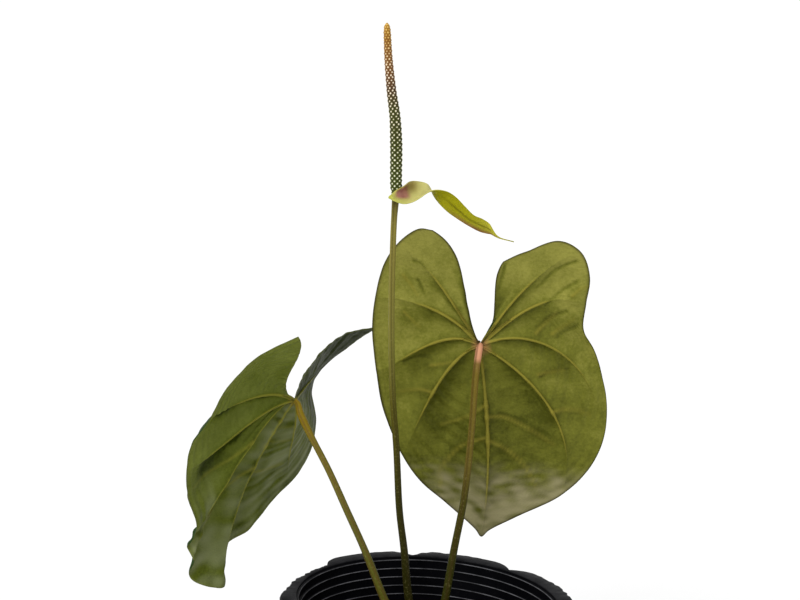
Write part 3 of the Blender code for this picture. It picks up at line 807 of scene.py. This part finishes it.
def build_stalks():
    stalks = (
        (
            "peduncle", PEDUNCLE, PEDUNCLE_RADII, 5, 0.42, (44, 38, 12),
            ((0.07, -1.2, 0.35), (0.05, 0.6, 0.3), (0.06, 2.4, 0.4)),
            (0.0, (22, 24, 3)), (0.2, (36, 35, 5)), (0.38, (46, 44, 6)), (0.55, (72, 67, 14)),
            (0.7, (110, 105, 46)), (0.93, (124, 114, 52)), (1.0, (70, 62, 24)),
        ),
        (
            "petiole_large_leaf", PETIOLE_LARGE, PETIOLE_LARGE_RADII, 6, 0.45, (54, 40, 14),
            ((0.16, -1.9, 0.35), (0.06, -0.6, 0.3), (0.08, 1.9, 0.5)),
            (0.0, (34, 38, 3)), (0.3, (46, 46, 5)), (0.5, (62, 58, 10)), (0.62, (92, 80, 28)),
            (0.9, (104, 88, 30)), (0.935, (116, 92, 44)), (0.95, (188, 134, 100)),
            (1.0, (196, 138, 108)),
        ),
        (
            "petiole_left_leaf", PETIOLE_LEFT, PETIOLE_LEFT_RADII, 7, 0.42, (92, 66, 34),
            ((0.08, 2.6, 0.35), (0.05, -0.9, 0.3), (0.08, 0.9, 0.5)),
            (0.0, (50, 54, 4)), (0.2, (78, 78, 20)), (0.5, (88, 85, 32)), (0.82, (104, 94, 34)),
            (0.92, (124, 104, 20)), (1.0, (134, 114, 26)),
        ),
    )  # fmt: skip
    for name, points, radii, seed, roughness, streak, grooves, *stops in stalks:
        skin = name.removesuffix("_leaf")
        look = stalk_look(skin + "_look", stops, streak, roughness)
        build_stalk(name, points, radii, grooves, seed, look)


# --- Flower ---


def spadix_look():
    """Green below and orange above; dark between the flowers, each with a pale dot."""
    look = Look("spadix_look", 0.5, 0.15)
    height = look.value("height")
    skin = look.ramp(
        height, (0.0, (84, 96, 22)), (0.5, (82, 88, 26)), (0.62, (92, 68, 42)),
        (0.74, (128, 88, 44)), (0.9, (146, 100, 34)), (1.0, (184, 136, 36)),
    )  # fmt: skip
    shade = look.ramp(height, (0.0, (30, 36, 2)), (0.55, (38, 28, 8)), (0.8, (84, 44, 6)))
    pale = look.ramp(height, (0.0, (232, 232, 206)), (0.7, (232, 216, 190)), (0.9, (206, 172, 96)))
    colour = look.mix(look.value("dot"), look.mix(look.value("dome"), shade, skin), pale)
    rough = look.spread(look.noise(1.2), 0.3, 0.7, 0.42, 0.6)
    return look.finish(colour, rough, look.bump(look.noise(0.4), 0.05))


def build_spadix():
    """A spike of small flowers in staggered rows, each a low dome with a pale dot."""
    rings, sides = 400, 84
    path = even(SPADIX, rings)
    length = lengths(path)
    share = length / length[-1]
    radius = np.interp(share, *zip(*SPADIX_RADII))
    place = (length / FLOWER_ROW)[:, None]
    across = (radius * math.tau / FLOWERS_ROUND)[:, None]
    nearest = np.full((rings, sides), 9.0)
    for row in (np.floor(place), np.floor(place) + 1):
        around = np.arange(sides) / sides * FLOWERS_ROUND + 0.5 * row + 0.06 * np.sin(3.1 * row)
        gap_round = (around - np.round(around)) * across
        nearest = np.minimum(nearest, np.hypot(gap_round, (place - row) * FLOWER_ROW))
    dome = 1 - np.clip(nearest, 0, 1) ** 2
    size = 0.95 + 0.3 * ripple(tube_rings(path, radius, sides), 1.4, 71)
    dot = 1 - step_between(nearest / size, 0.26, 0.44)
    closing = np.minimum(1, (1 - share) / 0.02)[:, None]
    widths = radius[:, None] + closing * (DOME_HEIGHT * dome + 0.14 * dot - 0.1)
    values = {"height": np.repeat(share, sides), "dome": dome, "dot": dot}
    add_tube("spadix", path, widths, sides, spadix_look(), values)


def spathe_look():
    """Pale inside with a pink flush at the foot, yellow-olive outside with fine lines."""
    look = Look("spathe_look", 0.46, 0.12)
    along = look.value("along")
    clouds = look.noise(5, 3)
    inside = look.ramp(
        along, (0.0, (214, 216, 96)), (0.2, (236, 230, 142)), (0.42, (244, 236, 158)),
        (0.6, (226, 220, 110)),
    )  # fmt: skip
    flush = look.ramp(clouds, (0.35, (158, 88, 84)), (0.65, (206, 142, 128)))
    inside = look.mix(look.value("flush"), inside, flush)
    inside = look.mix(look.value("pocket"), inside, (132, 100, 42))
    outside = look.ramp(
        along, (0.0, (176, 180, 66)), (0.45, (166, 162, 6)), (0.7, (178, 174, 24)),
        (0.88, (200, 194, 64)), (1.0, (190, 186, 60)),
    )  # fmt: skip
    lower = look.ramp(clouds, (0.35, (136, 84, 52)), (0.7, (176, 136, 76)))
    outside = look.mix(look.value("lower_margin"), outside, lower)
    outside = look.mix(look.value("seam", 0.7), outside, (92, 84, 10))
    colour = look.mix(look.value("inner"), outside, inside)
    place = look.node("ShaderNodeCombineXYZ", {0: look.value("across"), 1: look.value("along", 0.3)})
    inputs = {"Vector": place.outputs[0], "Scale": 26.0, "Distortion": 0.6, "Detail": 1.0}
    lines = look.node("ShaderNodeTexWave", inputs, bands_direction="X").outputs["Fac"]
    colour = look.mix(look.math("MULTIPLY", lines, 0.14), colour, (84, 84, 20))
    normal = look.bump(lines, 0.06, below=look.bump(look.noise(0.5), 0.03))
    look.finish(colour, look.spread(clouds, 0.3, 0.7, 0.36, 0.5), normal)
    look.let_light_through(look.mix(0.4, colour, (210, 210, 90)), 0.3, normal)
    return look.material


def build_spathe():
    """A twisted strip, hollow between its edges, with a pinched foot and a thread-like tip."""
    rows, columns = 220, 40
    back, front = smooth(SPATHE_BACK, rows), smooth(SPATHE_FRONT, rows)
    along, across = np.linspace(0, 1, rows), np.linspace(0, 1, columns)
    narrow = np.interp(along, (0, 0.84, 0.91, 1), (1, 1, 0.45, 0.2))[:, None]
    middle, reach = (back + front) / 2, narrow * (front - back) / 2
    grid = middle[:, None] + (2 * across[:, None] - 1) * reach[:, None]
    width = 2 * np.linalg.norm(reach, axis=1)
    hollow = width * np.interp(along, *zip(*SPATHE_HOLLOW))
    seam = np.outer(step_between(along, 0.45, 0.6), bell(across - 0.5, 0.075))
    bow = np.outer(hollow, np.sin(math.pi * across)) - 0.3 * seam
    grid = grid - sheet_normals(grid) * bow[:, :, None]
    a, c = along[:, None], across
    flush = 1.2 * bell(a - 0.12, 0.065, 4) * bell(c - 0.34, 0.34, 4)
    lower = (1 - step_between(c, 0.02, 0.42)) * step_between(a, 0.52, 0.7)
    fields = {
        "along": a, "across": c, "seam": seam, "flush": np.clip(flush, 0, 1),
        "pocket": 0.8 * bell(a - 0.21, 0.05) * bell(c - 0.16, 0.26),
        "lower_margin": lower * (1 - step_between(a, 0.88, 0.95)),
    }  # fmt: skip
    values = both_sides(fields, (rows, columns))
    values["inner"] = np.repeat([1, 0], rows * columns)
    points, faces = thickened(grid, SPATHE_HALF), sheet_faces(rows, columns)
    add_piece("spathe", points, faces, spathe_look(), ["spathe"], values)


# --- Pot, mix, crown, sheaths and roots ---


def inner_radius(z):
    return np.interp(z, (FLOOR, SHOULDER_Z, POT_HEIGHT), (BASE_RADIUS, SHOULDER_RADIUS, MOUTH_RADIUS))


def pot_profile(flange):
    """The pot's section: floor, ribbed inside, rounded flange with its skirt, outside."""
    top, lip, skirt = POT_HEIGHT, POT_HEIGHT - FLANGE_THICKNESS, POT_HEIGHT - SKIRT_DROP
    section = [(0, FLOOR), (BASE_RADIUS - 14, FLOOR), (BASE_RADIUS - 1.2, FLOOR)]
    section.append((BASE_RADIUS, FLOOR + 1.2))
    section += [(inner_radius(z), z) for z in np.linspace(8, SHOULDER_Z - 2, 16)]
    section += [(SHOULDER_RADIUS - 0.05, SHOULDER_Z), (inner_radius(101), 101.0)]
    for k in reversed(range(RIB_COUNT)):
        for step in np.linspace(-1, 1, 9):
            z = RIB_TOP_Z - k * RIB_PITCH + RIB_HALF_WIDTH * step
            stands = RIB_HEIGHT * math.cos(step * math.pi / 2) ** 0.8
            section.append((inner_radius(z) - stands, z))
    section += [(MOUTH_RADIUS - 0.1, top - 0.5), (MOUTH_RADIUS + 0.1, top - 0.15)]
    section += [(MOUTH_RADIUS + 0.5, top), (flange - 0.5, top), (flange - 0.15, top - 0.15)]
    section += [(flange, top - 0.5), (flange, skirt + 0.3), (flange - 0.3, skirt)]
    section += [(flange - 0.6, skirt), (flange - FLANGE_THICKNESS, skirt + 0.3)]
    section += [(flange - FLANGE_THICKNESS, lip), (inner_radius(lip) + WALL, lip)]
    section += [(inner_radius(z) + WALL, z) for z in np.linspace(lip - 2, SHOULDER_Z + 1, 8)]
    section.append((SHOULDER_RADIUS + WALL, SHOULDER_Z))
    section += [(inner_radius(z) + WALL, z) for z in np.linspace(SHOULDER_Z - 2, 3, 16)]
    outside = BASE_RADIUS + WALL
    section += [(outside, 1.0), (outside - 0.3, 0.3), (outside - 1, 0), (BASE_RADIUS - 14, 0), (0, 0)]
    return section


def pot_painted_highlights(flange):
    """How strong the painted highlight is at each point of the section: on the rib crests and the rim."""
    crests = [RIB_TOP_Z - k * RIB_PITCH for k in range(RIB_COUNT)]
    highlight_strengths = []
    for r, z in pot_profile(flange):
        inside = r < inner_radius(z) + 0.05 and z > SHOULDER_Z
        on_rib = inside and min(abs(z - crest) for crest in crests) < 0.2
        on_rim = z > POT_HEIGHT - 0.3
        on_edge = on_rim and r > flange - 0.3
        # Painted highlight: strongest on the rib crests, less on the flange's outer edge, faint over the
        # rest of the rim.
        highlight_strengths.append(0.72 if on_rib else 0.36 if on_edge else 0.08 if on_rim else 0.0)
    return highlight_strengths


def notch_depth(degrees):
    """How far the flange is cut back at an angle, with small unevenness along its edge."""
    away = min(abs((degrees - notch + 180) % 360 - 180) for notch in FLANGE_NOTCHES)
    cut = NOTCH_DEPTH * max(0, 1 - away / NOTCH_HALF_WIDTH) ** 2
    cut = max(cut, np.interp(degrees % 360, *zip(*PRESSED_LOBE)))
    t = math.radians(degrees)
    uneven = 0.3 * math.sin(23 * t + 1) + 0.26 * math.sin(57 * t) + 0.24 * math.sin(91 * t + 2)
    return min(cut + 0.3 + 0.6 * uneven * (1 + math.sin(5 * t)), NOTCH_DEPTH + 0.2)


def pot_look():
    """Dusty black plastic, with painted highlights along the rib crests and the rim."""
    look = Look("black_plastic_look", 0.42, 0.018)
    clouds = look.noise(30, 4, 0.6)
    dust = look.spread(look.noise(2.2, 4, 0.7), 0.55, 0.8, 0, 0.25)
    # How strongly the painted highlights show, in patches.
    highlight_patches = look.spread(look.noise(14, 4, 0.7), 0.4, 0.62, 0.35, 1)
    colour = look.ramp(clouds, (0.3, (4, 4, 6)), (0.7, (9, 9, 12)))
    colour = look.mix(dust, colour, (32, 31, 31))
    # Painted highlights: grey lines on the rib crests and the rim, from the value on each point.
    colour = look.mix(look.value("painted_highlight", highlight_patches), colour, (122, 122, 126))
    scratches = look.noise(1.4, 3, 0.6, (1, 1, 0.12))
    normal = look.bump(scratches, 0.06, below=look.bump(look.noise(9, 2), 0.25))
    return look.finish(colour, look.spread(clouds, 0.3, 0.7, 0.26, 0.42), normal)


def build_pot():
    """The pot as a lathed shell, with drain holes cut through its floor."""
    points = []
    for k in range(POT_TURNS):
        turn = math.tau * k / POT_TURNS
        section = pot_profile(FLANGE_RADIUS - notch_depth(math.degrees(turn)))[1:-1]
        points += [(r * math.cos(turn), r * math.sin(turn), z) for r, z in section]
    points += [(0, 0, FLOOR), (0, 0, 0)]
    ring = len(section)
    top, low = POT_TURNS * ring, POT_TURNS * ring + 1
    pairs = [(k * ring, (k + 1) % POT_TURNS * ring) for k in range(POT_TURNS)]
    faces = [(a + j, a + j + 1, b + j + 1, b + j) for a, b in pairs for j in range(ring - 1)]
    for a, b in pairs:
        faces += [(top, a, b), (low, b + ring - 1, a + ring - 1)]
    # Painted highlight strength for each point of the section, round the pot.
    values = {"painted_highlight": pot_painted_highlights(FLANGE_RADIUS)[1:-1] * POT_TURNS + [0.0, 0.0]}
    pot = add_piece("pot", points, faces, pot_look(), ["pot"], values, 50)
    drill_floor(pot)


def drill_floor(pot):
    """Cuts the drain holes and keeps the result in the pot's own mesh."""
    cutters = []
    for turn in angles_round(DRAIN_HOLES):
        place = (DRAIN_CIRCLE * MM * math.cos(turn), DRAIN_CIRCLE * MM * math.sin(turn), 0)
        size = {"radius": DRAIN_RADIUS * MM, "depth": 8 * MM}
        bpy.ops.mesh.primitive_cylinder_add(vertices=40, location=place, **size)
        cutter = bpy.context.object
        step = pot.modifiers.new("drain_hole", "BOOLEAN")
        step.operation = "DIFFERENCE"
        step.solver = "EXACT"
        step.object = cutter
        cutters.append(cutter)
    graph = bpy.context.evaluated_depsgraph_get()
    drilled = bpy.data.meshes.new_from_object(pot.evaluated_get(graph))
    pot.modifiers.clear()
    pot.data = drilled
    for cutter in cutters:
        bpy.data.objects.remove(cutter, do_unlink=True)


def blob(rng, ball_points, centre, size):
    """Points of one lumpy chip or stone, from a ball's points."""
    points = ball_points * (1 + 0.16 * rng.uniform(-1, 1, (len(ball_points), 1)))
    points = np.sign(points) * np.abs(points) ** 0.75 * size
    turn = np.array(Matrix.Rotation(rng.uniform(0, math.tau), 3, "Z"))
    tilt = np.array(Matrix.Rotation(rng.normal(0, 0.35), 3, "X"))
    return points @ (turn @ tilt).T + centre


def ball():
    """Points and faces of a ball of 42 points."""
    bpy.ops.mesh.primitive_ico_sphere_add(subdivisions=2, radius=1)
    obj = bpy.context.object
    points = np.array([v.co[:] for v in obj.data.vertices])
    faces = [tuple(p.vertices) for p in obj.data.polygons]
    bpy.data.objects.remove(obj, do_unlink=True)
    return points, faces


def mix_look():
    """Bark of many browns, and pale mineral grains."""
    look = Look("bark_mix_look", 0.9, 0.2)
    grain = look.noise(1.6, 5, 0.7, (1, 1, 3))
    colour = look.ramp(
        look.value("shade"), (0.0, (46, 30, 20)), (0.35, (78, 50, 32)), (0.65, (112, 78, 50)),
        (0.86, (134, 104, 72)), (0.93, (214, 208, 196)), (1.0, (232, 228, 220)),
    )  # fmt: skip
    colour = look.mix(look.spread(grain, 0.35, 0.7, 0.45, 0), colour, (24, 16, 12))
    normal = look.bump(grain, 0.5, below=look.bump(look.noise(0.5, 3), 0.12))
    return look.finish(colour, look.spread(grain, 0.3, 0.7, 0.95, 0.75), normal)


def mix_bed(limit):
    """Points, faces and shades of a rough bed with a skirt that hangs by the pot's wall."""
    radii, turns = limit * np.linspace(0.001, 1, BED_RINGS), angles_round(BED_TURNS)
    x, y = np.outer(radii, np.cos(turns)), np.outer(radii, np.sin(turns))
    bed = np.stack([x, y, np.full(x.shape, MIX_Z - BED_DROP)], axis=2).reshape(-1, 3)
    bed[:, 2] += 0.7 * ripple(bed, 9, 41) + 0.5 * ripple(bed, 4, 42)
    shades = np.clip(0.25 + 0.15 * ripple(bed, 6, 43), 0, 0.6)
    narrowing = (inner_radius(MIX_Z - MIX_SKIRT) - MIX_GAP) / limit
    skirt = bed[-BED_TURNS:] * (narrowing, narrowing, 0) + (0, 0, MIX_Z - MIX_SKIRT)
    faces = grid_faces(BED_RINGS + 1, BED_TURNS, closed=True)
    faces = [tuple(reversed(face)) for face in faces]
    return np.concatenate([bed, skirt]), faces, [*shades, *[0.1] * BED_TURNS]


def build_mix():
    """Loose bark chips with a few pale grains, over a rough bed."""
    limit = inner_radius(MIX_Z) - MIX_GAP
    bed, faces, shades = mix_bed(limit)
    points, count = [bed], len(bed)
    ball_points, ball_faces = ball()
    rng = np.random.default_rng(17)
    for _ in range(CHIP_COUNT):
        r, t = limit * math.sqrt(rng.uniform(0.01, 1)), rng.uniform(0, math.tau)
        pale = rng.uniform() < 0.16
        smallest, largest = ((1, 1, 1), (2, 2, 2)) if pale else ((2.5, 1.8, 0.8), (6.5, 3.6, 1.6))
        size = rng.uniform(smallest, largest)
        r = min(r, limit - size.max() - 0.4)
        x, y = r * math.cos(t), r * math.sin(t)
        if math.dist((x, y), CROWN_CENTRE) < CHIP_CLEARANCE + size.max() * 0.4:
            continue
        z = MIX_Z - 1.2 + rng.uniform(-0.8, 1.2)
        points.append(blob(rng, ball_points, (x, y, z), size))
        faces += [tuple(v + count for v in face) for face in ball_faces]
        shade = rng.uniform(0.93, 1) if pale else rng.uniform(0, 0.86)
        shades += [shade] * len(ball_points)
        count += len(ball_points)
    points, values = np.concatenate(points), {"shade": shades}
    add_piece("potting_mix", points, faces, mix_look(), ["potting_mix"], values, 60)


def build_crown():
    """The short stem, ringed with old leaf scars."""
    rings, sides = 90, 72
    heights = np.linspace(CROWN_PROFILE[0][0], CROWN_PROFILE[-1][0], rings)
    radius = np.interp(heights, *zip(*CROWN_PROFILE))[:, None]
    path = np.array([(*CROWN_CENTRE, z) for z in heights])
    turns, z = angles_round(sides), heights[:, None]
    scars = 0.3 * np.sin(2.6 * z + 1.5 * np.sin(turns))
    knobs = 0.35 * np.sin(5 * turns + 0.4 * z) + 0.25 * np.sin(9 * turns - 0.7 * z)
    radius = radius - 0.5 + 0.6 * np.clip(radius / 8, 0, 1) * (scars + knobs)
    look = Look("crown_look", 0.75, 0.3)
    bark = look.noise(2.4, 4, 0.6, (1, 1, 2.5))
    colour = look.ramp(bark, (0.3, (66, 62, 28)), (0.5, (106, 98, 50)), (0.7, (132, 112, 70)))
    look.finish(colour, look.spread(bark, 0.3, 0.7, 0.65, 0.85), look.bump(bark, 0.5))
    add_tube("crown", path, radius, sides, look.material)


def build_cataphylls():
    """Dry papery sheaths with long fibres and a torn tip."""
    look = Look("dry_sheath_look", 0.8, 0.2)
    fibres = look.noise(1.0, 4, 0.6, (1, 1, 0.07))
    colour = look.ramp(fibres, (0.3, (84, 54, 32)), (0.5, (134, 96, 58)), (0.72, (178, 144, 98)))
    normal = look.bump(fibres, 0.25)
    look.finish(colour, look.spread(fibres, 0.3, 0.7, 0.9, 0.7), normal)
    look.let_light_through((170, 124, 70), 0.15, normal)
    rows, columns = 70, 60
    up, across = np.linspace(0, 1, rows)[:, None], np.linspace(-1, 1, columns)
    x, y = CROWN_CENTRE
    for index, (name, (middle, half_width, height)) in enumerate(CATAPHYLLS.items()):
        turns = np.radians(middle + half_width * (1 - 0.85 * up**1.6) * across)
        waves = 0.25 * np.sin(9 * across + index) * up + 0.1 * np.sin(31 * across)
        radius = CATAPHYLL_RADIUS + 2.5 * up**2 + waves
        torn = 1 - 0.06 * up**6 * (1 + np.sin(17 * across + 2 * index))
        z = MIX_Z + 0.5 + height * up * torn
        grid = np.stack([x + radius * np.cos(turns), y + radius * np.sin(turns), z], axis=2)
        points, faces = thickened(grid, CATAPHYLL_THICKNESS / 2), sheet_faces(rows, columns)
        add_piece(name, points, faces, look.material, [name])


def build_roots():
    """Stubby roots with a velvety skin, a little knotted."""
    look = Look("root_look", 0.85, 0.25)
    skin = look.noise(0.8, 4, 0.65)
    colour = look.ramp(skin, (0.3, (120, 104, 70)), (0.55, (168, 152, 112)), (0.75, (196, 186, 150)))
    look.finish(colour, look.spread(skin, 0.3, 0.7, 0.75, 0.95), look.bump(skin, 0.18))
    x, y = CROWN_CENTRE
    low = MIX_Z + 0.3 + ROOT_RADIUS
    share = np.linspace(0, 1, 70)
    for index, (name, (turn, reach, z)) in enumerate(ROOTS.items()):
        c, s = math.cos(math.radians(turn)), math.sin(math.radians(turn))
        stations = [(8.2, z + 0.1), (10.2, z), (reach * 0.7, z - 0.4)]
        stations += [(reach * 0.9, (z + low) / 2), (reach, low)]
        path = even([(x + r * c, y + r * s, h) for r, h in stations], len(share))
        radius = ROOT_RADIUS * np.interp(share, (0, 0.75, 0.93, 1), (1.05, 1, 0.7, 0.08))
        radius = radius * (1 + 0.05 * np.sin(21 * share + index) + 0.04 * np.sin(47 * share))
        add_tube(name, path, radius, 32, look.material)


# --- Studio ---


def build_studio():
    """A white floor under soft light, most of it from above, in front and the left."""
    bpy.ops.mesh.primitive_plane_add(size=60, location=(0, 0, 0))
    floor = bpy.context.object
    floor.name = "studio_floor"
    look = Look("studio_floor_look", 0.9, 0.1)
    floor.data.materials.append(look.finish((246, 246, 246)))
    world = bpy.data.worlds.new("studio_world")
    world.use_nodes = True
    background = world.node_tree.nodes["Background"]
    background.inputs["Color"].default_value = (1, 1, 1, 1)
    background.inputs["Strength"].default_value = 0.62
    bpy.context.scene.world = world
    sun = bpy.data.lights.new("soft_key", "SUN")
    sun.energy = 2.5
    sun.angle = math.radians(40)
    key = bpy.data.objects.new("soft_key", sun)
    key.rotation_euler = (math.radians(48), 0, math.radians(-32))
    bpy.context.collection.objects.link(key)
    bpy.context.scene.view_settings.view_transform = "Standard"


def build_camera():
    data = bpy.data.cameras.new("camera")
    data.lens = CAMERA_LENS
    data.sensor_width = 36.0
    camera = bpy.data.objects.new("camera", data)
    down = Matrix.Rotation(math.radians(90 - CAMERA_DOWN), 4, "X")
    lean = Matrix.Rotation(math.radians(CAMERA_LEAN), 4, "Z")
    camera.matrix_world = Matrix.Translation([v * MM for v in CAMERA_PLACE]) @ down @ lean
    bpy.context.collection.objects.link(camera)
    bpy.context.scene.camera = camera


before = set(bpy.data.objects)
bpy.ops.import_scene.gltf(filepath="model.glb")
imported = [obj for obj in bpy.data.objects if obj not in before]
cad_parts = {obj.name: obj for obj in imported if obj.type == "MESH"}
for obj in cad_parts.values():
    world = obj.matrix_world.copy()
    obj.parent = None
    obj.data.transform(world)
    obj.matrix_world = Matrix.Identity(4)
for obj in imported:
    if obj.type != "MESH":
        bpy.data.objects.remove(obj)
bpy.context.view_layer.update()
build_camera()
build_studio()
build_pot()
build_mix()
build_crown()
build_cataphylls()
build_roots()
build_stalks()
build_blades()
build_spathe()
build_spadix()
